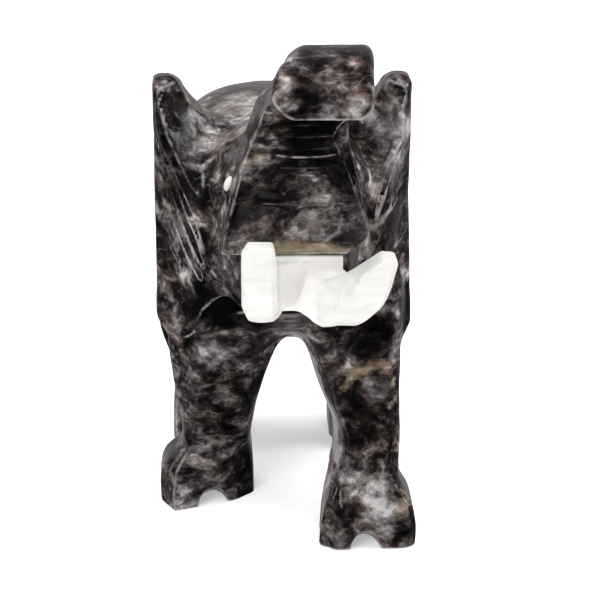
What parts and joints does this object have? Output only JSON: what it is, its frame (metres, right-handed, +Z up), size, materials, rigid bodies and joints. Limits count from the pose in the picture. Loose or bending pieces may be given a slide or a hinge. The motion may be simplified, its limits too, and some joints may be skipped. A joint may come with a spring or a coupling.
{
  "type": "marble elephant sculpture",
  "caption": "Small standing elephant carved from mottled grey and black marble, trunk raised, spread ears, striding leg, with tusks and eyes inlaid in white stone.",
  "frame": {"origin": "middle of the footprint box, on the plane that the four feet stand on", "axes": "+Z up, the elephant faces -Y, its own right side is at -X"},
  "size_m": [0.0728, 0.1524, 0.142],
  "materials": {
    "grey_marble": "polished, mottled and veined",
    "white_stone": "smooth, slightly translucent",
    "eye_shell": "polished"
  },
  "bodies": {
    "root": {"elephant_body": "grey_marble", "tusks": "white_stone", "right_eye": "eye_shell", "left_eye": "eye_shell"}
  },
  "joints": []
}
